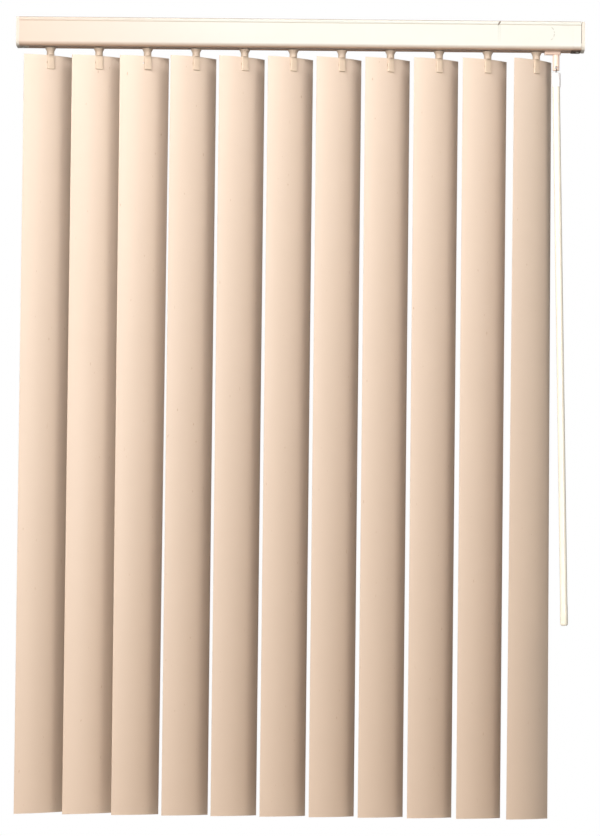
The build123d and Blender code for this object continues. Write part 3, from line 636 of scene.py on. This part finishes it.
@dataclass
class Headrail:
    """The steel channel's skin, with the tongue and the seam of its right cap."""

    material: bpy.types.Material
    # Near-black painted shade for the tongue and the seam.
    gap_shade: bpy.types.Material
    depth: float = 50.0 * MM
    hem_step: float = 0.6 * MM
    hem_height: float = 5.5 * MM
    wall: float = 1.0 * MM
    corner_radius: float = 8.0 * MM
    channel_depth: float = 4.0 * MM
    lip_width: float = 5.0 * MM
    slot_width: float = 13.0 * MM
    edge_height: float = 3.0 * MM
    nick_place: tuple[float, float] = (0.3196, -0.0032)
    nick_reach: float = 2.6 * MM
    nick_depth: float = 0.32 * MM
    crimp_place: tuple[float, float] = (0.4405, -0.0405)
    crimp_reach: float = 3.2 * MM
    crimp_rise: float = 0.55 * MM
    tongue_length: float = 15.0 * MM
    tongue_depth: float = 41.0 * MM
    tongue_height: float = 0.35 * MM
    seam_width: float = 0.7 * MM
    seam_depth: float = 1.6 * MM
    seam_height: float = 31.0 * MM

    def corner(
        self, middle: tuple[float, float], radius: float, first: float, turn: float
    ) -> list[tuple[float, float]]:
        """Points of an arc about middle, from the angle first through turn, both in degrees."""
        angles = np.radians(np.linspace(first, first + turn, 9))
        return [(middle[0] + radius * math.cos(a), middle[1] + radius * math.sin(a)) for a in angles]

    def half_section(self, height: float) -> list[tuple[float, float]]:
        """Outline of the wall's back half, from the top lip round the outside to the slot and back inside."""
        half = self.depth / 2
        body = half - self.hem_step
        inner = body - self.wall
        low = -height
        slot = self.slot_width / 2
        round_in = self.corner_radius - self.wall
        edge_top = low + self.wall + self.edge_height
        turn = 0.25 * MM
        outside = [
            (inner - self.lip_width, 0.0),
            (half - 3 * turn, 0.0),
            (half - turn, -turn),
            (half, -3 * turn),
            (half, -self.hem_height + turn),
            (half - turn, -self.hem_height),
            (body, -self.hem_height - turn),
        ]
        centre = (body - self.corner_radius, low + self.corner_radius)
        outside += self.corner(centre, self.corner_radius, 0, -90)
        outside += [(slot + 2 * turn, low), (slot, low + 2 * turn), (slot, edge_top)]
        inside = [(slot + self.wall, edge_top), (slot + self.wall, low + self.wall)]
        inside += self.corner(centre, round_in, -90, 90)
        inside += [(inner, -self.channel_depth - self.wall)]
        return outside + inside

    def section(self, height: float) -> np.ndarray:
        """Whole closed outline of the channel's wall in Y and Z."""
        back = self.half_section(height)
        inner = self.depth / 2 - self.hem_step - self.wall
        web = [(inner, -self.channel_depth), (inner, -self.wall), (inner - self.lip_width, -self.wall)]
        front = [(-y, z) for y, z in back]
        front_web = [(-y, z) for y, z in web]
        return np.array(back + front[::-1] + front_web[::-1] + web)

    def skin(self) -> Shell:
        """The section carried along the rail. Smooth bells press in the nick and raise the crimp."""
        low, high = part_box("headrail")
        outline = self.section(high[2] - low[2])
        nick_x, nick_z = self.nick_place
        fine = nick_x + self.nick_reach * np.linspace(-1.5, 1.5, 13)
        crimp_x, crimp_z = self.crimp_place
        fine_crimp = crimp_x + self.crimp_reach * np.linspace(-1.5, 1.5, 13)
        stations = np.sort(np.concatenate([np.linspace(low[0], high[0], 40), fine, fine_crimp]))
        y = np.broadcast_to(outline[:, 0], (len(stations), len(outline))).copy()
        z = np.broadcast_to(outline[:, 1], y.shape) + high[2]
        x = np.broadcast_to(stations[:, None], y.shape)
        from_nick = ((x - nick_x) / self.nick_reach) ** 2 + ((z - nick_z) / (2 * self.nick_reach)) ** 2
        bell = np.exp(-2 * from_nick)
        y += np.where(y < -self.depth / 2 + self.hem_step, self.nick_depth * bell, 0.0)
        from_crimp = ((x - crimp_x) / self.crimp_reach) ** 2 + ((z - crimp_z) / self.crimp_reach) ** 2
        swell = np.exp(-2 * from_crimp)
        y -= np.where(y < -self.depth / 4, self.crimp_rise * swell, 0.0)
        return loft(np.stack([x, y, z], -1))

    def tongue(self) -> Shell:
        """Tongue of the right cap, clamped under the rail by its screw: a thin rounded plate."""
        low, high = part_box("headrail")
        outline = rounded_rectangle(self.tongue_length, self.tongue_depth, 2 * MM)
        middle = [high[0] - self.tongue_length / 2 - 0.3 * MM, 0.0]
        heights = low[2] - self.tongue_height * np.array([-0.5, 0.6, 1.0])
        shrink = [1.0, 1.0, 0.97]
        return stacked([outline * s + middle for s in shrink], heights)

    def seam(self) -> Shell:
        """Painted shade in the seam between the rail and the right cap: a thin dark upright bar."""
        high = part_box("headrail")[1]
        bar = rounded_rectangle(self.seam_width, self.seam_depth, 0.2 * MM)
        middle = [high[0] + self.seam_width / 2 + 0.1 * MM, -self.depth / 2 + 1.5 * MM]
        heights = np.linspace(-self.channel_depth, -self.channel_depth - self.seam_height, 9)
        ragged = 1 - 0.25 * np.abs(np.sin(np.arange(len(heights)) * 2.1))
        return stacked([bar * [1, r] + middle for r in ragged], heights)

    def build(self) -> None:
        """Makes the channel, and the tongue and the seam by the right cap, which carry near-black painted
        shade.
        """
        rail = add_piece("headrail_channel", [self.skin()], self.material, sharp=50.0)
        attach(rail, "headrail")
        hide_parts("headrail")
        # The tongue and the seam bar stand in for the shade in the gap and under the rail's end: painted
        # shade.
        shaded = add_piece("end_cap_tongue_and_seam", [self.tongue(), self.seam()], self.gap_shade)
        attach(shaded, "headrail")
        LOG.info("headrail: %d faces", len(rail.data.polygons))


@dataclass
class VaneBank:
    """The vanes: each a curved strip with its slot, a slight twist and a gentle bow."""

    material: bpy.types.Material
    count: int = 11
    chord: float = 89.0 * MM
    crown: float = 7.5 * MM
    thickness: float = 0.9 * MM
    slot_width: float = 14.0 * MM
    slot_height: float = 3.2 * MM
    slot_drop: float = 11.4 * MM
    rows: int = 72
    columns: int = 44
    seed: int = 11

    def plan_angle(self, node: str) -> float:
        """Direction of a vane's chord in plan: the main axis of its node's points, in radians."""
        mesh = frame["nodes"][node].data
        points = np.empty(len(mesh.vertices) * 3)
        mesh.vertices.foreach_get("co", points)
        flat = points.reshape(-1, 3)[:, :2]
        flat = flat - (flat.max(0) + flat.min(0)) / 2
        values, vectors = np.linalg.eigh(flat.T @ flat)
        x, y = vectors[:, np.argmax(values)]
        return math.atan2(y, x) if x > 0 else math.atan2(-y, -x)

    def lines(self, low: float, high: float, breaks: list[float], count: int) -> np.ndarray:
        """Grid lines from low to high with a line on each break."""
        even = np.linspace(low, high, count)
        gap = (high - low) / count / 3
        far = np.all(np.abs(even[:, None] - np.array(breaks)[None]) > gap, axis=1)
        return np.sort(np.concatenate([even[far], breaks]))

    def strip(
        self,
        axis: tuple[float, float],
        top: float,
        length: float,
        angle: float,
        twist: tuple[float, float],
        bow: float,
        skew: float,
    ) -> Shell:
        """One vane.

        The mid-surface is a circular arc of the stated chord and crown, carried down Z. Its plan angle
        runs from angle plus twist[0] at the top to angle plus twist[1] at the bottom, and its middle
        bows out as half a sine wave.

        Args:
            axis: X and Y of the vane's axis.
            top: height of its top edge.
            length: its length.
            angle: its plan angle in radians.
            twist: change of that angle at the top and the bottom, in radians.
            bow: reach of the bow in metres.
            skew: how much higher the right bottom corner is than the left one, in metres.

        Returns:
            The closed strip.
        """
        radius = (self.chord**2 / 4 + self.crown**2) / (2 * self.crown)
        half = math.asin(self.chord / 2 / radius)
        slot_half = self.slot_width / 2 / radius
        across = self.lines(-half, half, [-slot_half, slot_half], self.columns)
        slot_top = self.slot_drop - self.slot_height / 2
        slot_low = self.slot_drop + self.slot_height / 2
        down = self.lines(0.0, length, [slot_top, slot_low], self.rows)
        middle_across = (across[1:] + across[:-1]) / 2
        middle_down = (down[1:] + down[:-1]) / 2
        beside = np.abs(middle_across) < slot_half
        level = np.abs(middle_down - self.slot_drop) < self.slot_height / 2
        in_slot = level[:, None] & beside[None]
        share = (down / length)[:, None]
        turn = angle + twist[0] + (twist[1] - twist[0]) * share
        out = bow * np.sin(np.pi * share)
        sides = []
        for side in (0.5, -0.5):
            r = radius + side * self.thickness
            u = r * np.sin(across)[None]
            v = radius - r * np.cos(across)[None] - out
            x = axis[0] + u * np.cos(turn) - v * np.sin(turn)
            y = axis[1] + u * np.sin(turn) + v * np.cos(turn)
            z = top - down[:, None] + skew / 2 * share * (across / half + 1)[None]
            sides.append(np.stack([x, y, z], -1))
        return plate(sides[0], sides[1], ~in_slot)

    def build(self) -> None:
        """Makes each vane on its own body."""
        random = np.random.default_rng(self.seed)
        joints = {j["child"]: j for j in frame["joints"]}
        twists = {1: (0.0, 0.2), 2: (0.0, 0.2), 3: (-2.0, 3.0), 11: (1.0, -4.5)}
        slips = {3: -1.5 * MM}
        skews = {1: 2.4 * MM, 2: 1.8 * MM}
        for n in range(1, self.count + 1):
            node = f"vane_{n:02d}"
            low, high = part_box(node)
            x, y = joints[node]["pos_m"][:2]
            axis = (x + slips.get(n, 0.0), y)
            start, stop = twists.get(n, (0.0, float(random.uniform(-0.4, 0.4))))
            twist = (math.radians(start), math.radians(stop))
            bow = float(random.uniform(-0.12, 0.12)) * MM
            skew = skews.get(n, 0.0)
            shell = self.strip(axis, high[2], high[2] - low[2], self.plan_angle(node), twist, bow, skew)
            piece = add_piece(f"vane_strip_{n:02d}", [shell], self.material)
            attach(piece, node)
            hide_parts(node)
            LOG.info("%s: %d faces", piece.name, len(piece.data.polygons))


@dataclass
class StemBank:
    """The moulded stems: pinion, collar and neck turned about one axis, two flexing prongs and a barb."""

    material: bpy.types.Material
    count: int = 11
    pinion_teeth: int = 12
    pinion_root: float = 4.6 * MM
    pinion_tip: float = 6.3 * MM
    pinion_low: float = -33.0 * MM
    pinion_high: float = -23.0 * MM
    shaft_radius: float = 4.2 * MM
    collar_top: float = -46.6 * MM
    collar_low: float = -50.5 * MM
    collar_radius: float = 8.75 * MM
    neck_radius: float = 6.0 * MM
    neck_low: float = -59.0 * MM
    prong_width: float = 11.6 * MM
    prong_thickness: float = 2.0 * MM
    prong_gap: float = 1.5 * MM
    front_length: float = 22.5 * MM
    back_length: float = 16.5 * MM
    root_length: float = 4.0 * MM
    toe_width: float = 12.8 * MM
    toe_reach: float = 0.55 * MM
    barb_width: float = 9.0 * MM
    barb_top: float = -69.2 * MM
    barb_height: float = 2.2 * MM

    def turned(self) -> Shell:
        """Shaft, collar and neck: a profile of radius against height, revolved."""
        profile = [
            (self.shaft_radius, self.pinion_low),
            (self.shaft_radius, self.collar_top + 0.4 * MM),
            (self.collar_radius, self.collar_top),
            (self.collar_radius, self.collar_top - 1.6 * MM),
            (self.neck_radius + 1.1 * MM, self.collar_low - 0.6 * MM),
            (self.neck_radius, self.collar_low - 3.0 * MM),
            (self.neck_radius, self.neck_low),
            (self.neck_radius * 0.7, self.neck_low),
        ]
        return loft(revolved(rounded_profile(profile, 0.7 * MM)))

    def pinion(self) -> Shell:
        """Pinion: the radius rises and falls once a tooth, as a clipped cosine, between root and tip."""
        turn = np.linspace(0, 2 * np.pi, self.pinion_teeth * 10, endpoint=False)
        wave = np.clip(1.6 * np.cos(turn * self.pinion_teeth), -1, 1)
        radius = self.pinion_root + (self.pinion_tip - self.pinion_root) * (wave + 1) / 2
        ring = np.stack([radius * np.cos(turn), radius * np.sin(turn)], -1)
        heights = [self.pinion_low, self.pinion_low + 0.5 * MM, self.pinion_high - 0.5 * MM, self.pinion_high]
        shrink = [0.94, 1.0, 1.0, 0.94]
        return stacked([ring * s for s in shrink], heights)

    def prong(self, side: int, length: float, toe: bool) -> Shell:
        """One prong: a rounded rectangle carried down, thinning a little, with a toe flared at its end.

        Args:
            side: -1 in front of the vane, 1 behind it.
            length: how far it reaches below the neck.
            toe: whether its end is flared.

        Returns:
            The closed prong.
        """
        steps = np.array([-0.6, 0.0, 0.3, 0.6, 0.80, 0.86, 0.90, 0.97, 1.0])
        flare = np.array([0, 0, 0, 0, 0, 0.5, 1, 1, 0.7]) if toe else np.zeros(len(steps))
        rings = []
        for share, swell in zip(steps, flare):
            end = 0.82 if share == 1.0 else 1.0
            width = (self.prong_width + (self.toe_width - self.prong_width) * swell) * end
            thick = (self.prong_thickness + self.toe_reach * swell) * (0.75 if share == 1.0 else 1.0)
            ring = rounded_rectangle(width, thick, 0.6 * MM)
            middle = side * (self.prong_gap / 2 + thick / 2)
            height = self.neck_low - share * (length if share > 0 else self.root_length)
            rings.append(np.column_stack([ring[:, 0], ring[:, 1] + middle, np.full(len(ring), height)]))
        return loft(np.array(rings))

    def barb(self) -> Shell:
        """Barb on the back prong: a rounded tongue that passes through the vane's slot."""
        reach = self.prong_gap - 0.1 * MM
        ring = rounded_rectangle(self.barb_width, reach, 0.4 * MM)
        heights = self.barb_top - self.barb_height * np.array([0, 0.15, 0.75, 1.0])
        shrink = [0.92, 1.0, 1.0, 0.85]
        return stacked([ring * s + [0, 0.05 * MM] for s in shrink], heights)

    def build(self, bank: VaneBank) -> None:
        """Makes each stem at its vane's axis and plan angle."""
        shells = [
            self.turned(),
            self.pinion(),
            self.prong(-1, self.front_length, toe=True),
            self.prong(1, self.back_length, toe=False),
            self.barb(),
        ]
        joints = {j["child"]: j for j in frame["joints"]}
        for n in range(1, self.count + 1):
            body = f"vane_{n:02d}"
            x, y = joints[body]["pos_m"][:2]
            angle = bank.plan_angle(body)
            there = [Shell(placed(s.vertices, (x, y, 0.0), angle), s.faces) for s in shells]
            piece = add_piece(f"stem_moulding_{n:02d}", there, self.material)
            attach(piece, body)
            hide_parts(f"stem_{n:02d}")
        LOG.info("stems: %d of %d shells", self.count, len(shells))


@dataclass
class Wand:
    """The wand with its sleeve and hook, hanging from the tilter's eye a little off plumb."""

    rod_material: bpy.types.Material
    sleeve_material: bpy.types.Material
    lean: float = math.radians(1.3)
    radius: float = 6.2 * MM
    rod_top: float = -16.4 * MM
    rod_length: float = 880.0 * MM
    grip_length: float = 34.0 * MM
    sleeve_radius: float = 7.2 * MM
    sleeve_top: float = -6.9 * MM
    sleeve_length: float = 23.0 * MM
    shoulder: float = 2.6 * MM
    bore: float = 0.85 * MM
    socket: float = 6.3 * MM
    socket_depth: float = 13.6 * MM

    def rod(self) -> Shell:
        """Rod: a long round, waisted by a hair above its grip, with a rounded end."""
        low = self.rod_top - self.rod_length
        waist = self.radius - 0.35 * MM
        profile = [(self.radius - 0.5 * MM, self.rod_top), (self.radius, self.rod_top - 0.5 * MM)]
        profile += [(self.radius, self.rod_top - 10 * MM), (waist, self.rod_top - 16 * MM)]
        profile += [(waist, low + (self.rod_length - 40 * MM) * s) for s in (0.75, 0.5, 0.25)]
        profile += [(waist, low + self.grip_length), (self.radius, low + self.grip_length - 3 * MM)]
        turns = np.radians(np.linspace(0, 84, 8))
        round_end = 3.5 * MM
        profile += [
            (self.radius - round_end * (1 - math.cos(t)), low + round_end * (1 - math.sin(t))) for t in turns
        ]
        return loft(revolved(profile, 40))

    def sleeve(self) -> Shell:
        """Sleeve: the outside from shoulder to skirt, then back up inside the wand's socket."""
        top, low = self.sleeve_top, self.sleeve_top - self.sleeve_length
        turns = np.radians(np.linspace(90, 0, 8))
        inset = self.sleeve_radius - self.shoulder
        profile = [(self.bore, top)]
        curve = [(self.shoulder * math.cos(t), self.shoulder * math.sin(t)) for t in turns]
        profile += [(inset + out, top - self.shoulder + up) for out, up in curve]
        profile += [(self.sleeve_radius, low + 0.5 * MM), (self.sleeve_radius - 0.5 * MM, low)]
        floor = low + self.socket_depth
        profile += [(self.socket, low), (self.socket, floor), (self.bore, floor)]
        rings = revolved(profile, 48)
        count, around = rings.shape[:2]
        closed = np.concatenate([rings, rings[:1]])
        quads = grid_quads(count + 1, around, wrap=True)
        return Shell(closed[:-1].reshape(-1, 3), (quads % (count * around)).tolist()).outward()

    def build(self) -> None:
        """Makes the rod and the sleeve about the hook's pivot."""
        pivot = next(j for j in frame["joints"] if j["child"] == "wand")["pos_m"]
        for name, shell, node, material, slot in (
            ("wand_rod", self.rod(), "wand", self.rod_material, "wand_plastic"),
            ("wand_socket_sleeve", self.sleeve(), "wand_sleeve", self.sleeve_material, "sleeve_plastic"),
        ):
            there = Shell(placed(shell.vertices, pivot, lean=self.lean), shell.faces)
            piece = add_piece(name, [there], material)
            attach(piece, "wand")
            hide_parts(node)
            LOG.info("%s: %d faces", name, len(piece.data.polygons))


def dress_nodes(materials: dict[str, bpy.types.Material]) -> None:
    """Gives each CAD node that still shows the material of its kind.

    Args:
        materials: the start of a node's name to its material. The longest start that fits is used.
    """
    for name, node in frame["nodes"].items():
        starts = [s for s in materials if name.startswith(s)]
        if not starts:
            continue
        chosen = materials[max(starts, key=len)]
        node.data.materials.clear()
        node.data.materials.append(chosen)
    LOG.info("nodes dressed: %d", len(frame["nodes"]))


# ---------------------------------------------------------------- studio


@dataclass(frozen=True)
class Lamp:
    """A rectangular soft light: where it stands, what it points at, its size in metres and its power."""

    name: str
    place: tuple[float, float, float]
    target: tuple[float, float, float]
    size: tuple[float, float]
    watts: float
    colour: str


LAMPS = (
    # The key stands well to the left, so each curved vane falls off into shade towards its right edge.
    Lamp("key", (-4.3, -7.2, 1.3), (0.0, 0.0, -0.6), (2.3, 2.3), 575.0, "#FFFAF6"),
    # A long strip overhead whitens the rail and the upper third of the vanes.
    Lamp("top_strip", (0.15, -1.2, 0.5), (0.0, 0.0, -0.25), (2.0, 0.3), 12.0, "#FFFBF8"),
    Lamp("front_fill", (1.0, -5.0, -0.6), (0.0, 0.0, -0.65), (2.0, 2.0), 14.0, "#FFFFFF"),
    # A weak light close to the right lifts the last vanes and the wand.
    Lamp("right_fill", (1.6, -3.0, -0.4), (0.4, 0.0, -0.65), (1.0, 1.0), 24.0, "#FFFAF4"),
)


@dataclass
class Studio:
    """Pale floor, white surroundings, soft lights and the camera."""

    camera_place: tuple[float, float, float] = (0.08, -7.2, -0.98)
    aim: tuple[float, float, float] = (0.0059, 0.0, -0.6406)
    roll: float = math.radians(0.621)
    lens: float = 193.36
    sensor: float = 36.0
    floor_height: float = -1.9
    floor_radius: float = 9.0
    floor_glow: float = 0.5

    def camera(self) -> None:
        """Long lens from just below the middle, tilted up a little and rolled a hair."""
        data = bpy.data.cameras.new("camera")
        data.sensor_fit = "VERTICAL"
        data.sensor_height = self.sensor
        data.sensor_width = self.sensor
        data.lens = self.lens
        data.clip_end = 100.0
        camera = bpy.data.objects.new("camera", data)
        look = Vector(self.aim) - Vector(self.camera_place)
        turn = look.to_track_quat("-Z", "Y").to_matrix() @ Matrix.Rotation(self.roll, 3, "Z")
        camera.matrix_world = Matrix.Translation(self.camera_place) @ turn.to_4x4()
        bpy.context.scene.collection.objects.link(camera)
        bpy.context.scene.camera = camera

    def floor(self) -> None:
        """A pale round floor. Its glow is only for the camera, so the underside of the blind stays dark."""
        finish = moulded("floor_pale_vinyl", "#E9E7E3", "#E3E1DC", 0.7)
        ring = np.concatenate([circle(96) * self.floor_radius, np.full((96, 1), self.floor_height)], 1)
        slab = np.array([ring - [0, 0, 0.02], ring])
        material = finish.material()
        shader = material.node_tree.nodes["Principled BSDF"]
        shader.inputs["Emission Color"].default_value = linear(finish.colour)
        seen = add_node(material.node_tree, "ShaderNodeLightPath").outputs["Is Camera Ray"]
        pale = stretched(material.node_tree, seen, 0.0, self.floor_glow)
        material.node_tree.links.new(pale, shader.inputs["Emission Strength"])
        floor = add_piece("floor", [loft(slab)], material)

    def lamp(self, lamp: Lamp) -> None:
        """Makes a rectangular soft light.

        Args:
            lamp: its place, target, size, power and colour.
        """
        data = bpy.data.lights.new(lamp.name, "AREA")
        data.shape = "RECTANGLE"
        data.size, data.size_y = lamp.size
        data.energy = lamp.watts
        data.color = linear(lamp.colour)[:3]
        made = bpy.data.objects.new(lamp.name, data)
        aim = (Vector(lamp.target) - Vector(lamp.place)).to_track_quat("-Z", "Y")
        made.matrix_world = Matrix.Translation(lamp.place) @ aim.to_matrix().to_4x4()
        bpy.context.scene.collection.objects.link(made)

    def surroundings(self) -> None:
        """World light: a soft grey fill, seen as white where nothing stands in front of it."""
        world = bpy.data.worlds.new("surroundings")
        world.use_nodes = True
        tree = world.node_tree
        fill = tree.nodes["Background"]
        fill.inputs["Color"].default_value = linear("#FFFFFF")
        seen = add_node(tree, "ShaderNodeLightPath").outputs["Is Camera Ray"]
        direction = add_node(tree, "ShaderNodeTexCoord").outputs["Generated"]
        height = add_node(tree, "ShaderNodeSeparateXYZ", {0: direction}).outputs["Z"]
        span = {"Value": height, "From Min": -0.6, "To Min": 0.07, "To Max": 0.25}
        glow = add_node(tree, "ShaderNodeMapRange", span)
        strength = add_node(tree, "ShaderNodeMix", {0: seen, 2: glow.outputs[0], 3: 1.0})
        tree.links.new(strength.outputs[0], fill.inputs["Strength"])
        bpy.context.scene.world = world

    def build(self) -> None:
        """Sets up the camera, the floor and the lights."""
        self.camera()
        self.floor()
        self.surroundings()
        for lamp in LAMPS:
            self.lamp(lamp)
        bpy.context.scene.view_settings.view_transform = "Standard"


def main() -> None:
    """Builds the studio and each sub-assembly."""
    logging.basicConfig(level=logging.INFO, format="%(name)s %(message)s")
    Studio().build()
    Headrail(ENAMEL.material(), GAP_SHADE.material()).build()
    vanes = VaneBank(PVC.material())
    vanes.build()
    StemBank(STEM_ACETAL.material()).build(vanes)
    Wand(WAND_ACRYLIC.material(), SLEEVE_ABS.material()).build()
    acetal, tilter, zinc = CARRIER_ACETAL.material(), TILTER_ABS.material(), ZINC_STEEL.material()
    dress_nodes(
        {
            "end_cap_": CAP_ABS.material(),
            "end_cap_screws": zinc,
            "mounting_clips": zinc,
            "tilt_rod": ROD_ALUMINIUM.material(),
            "carrier_": acetal,
            "worm_": acetal,
            "tilter_arm": tilter,
            "tilter_stem": tilter,
            "tilter_gear": acetal,
            "wand_hook": WIRE_STEEL.material(),
        }
    )


if __name__ == "__main__":
    main()
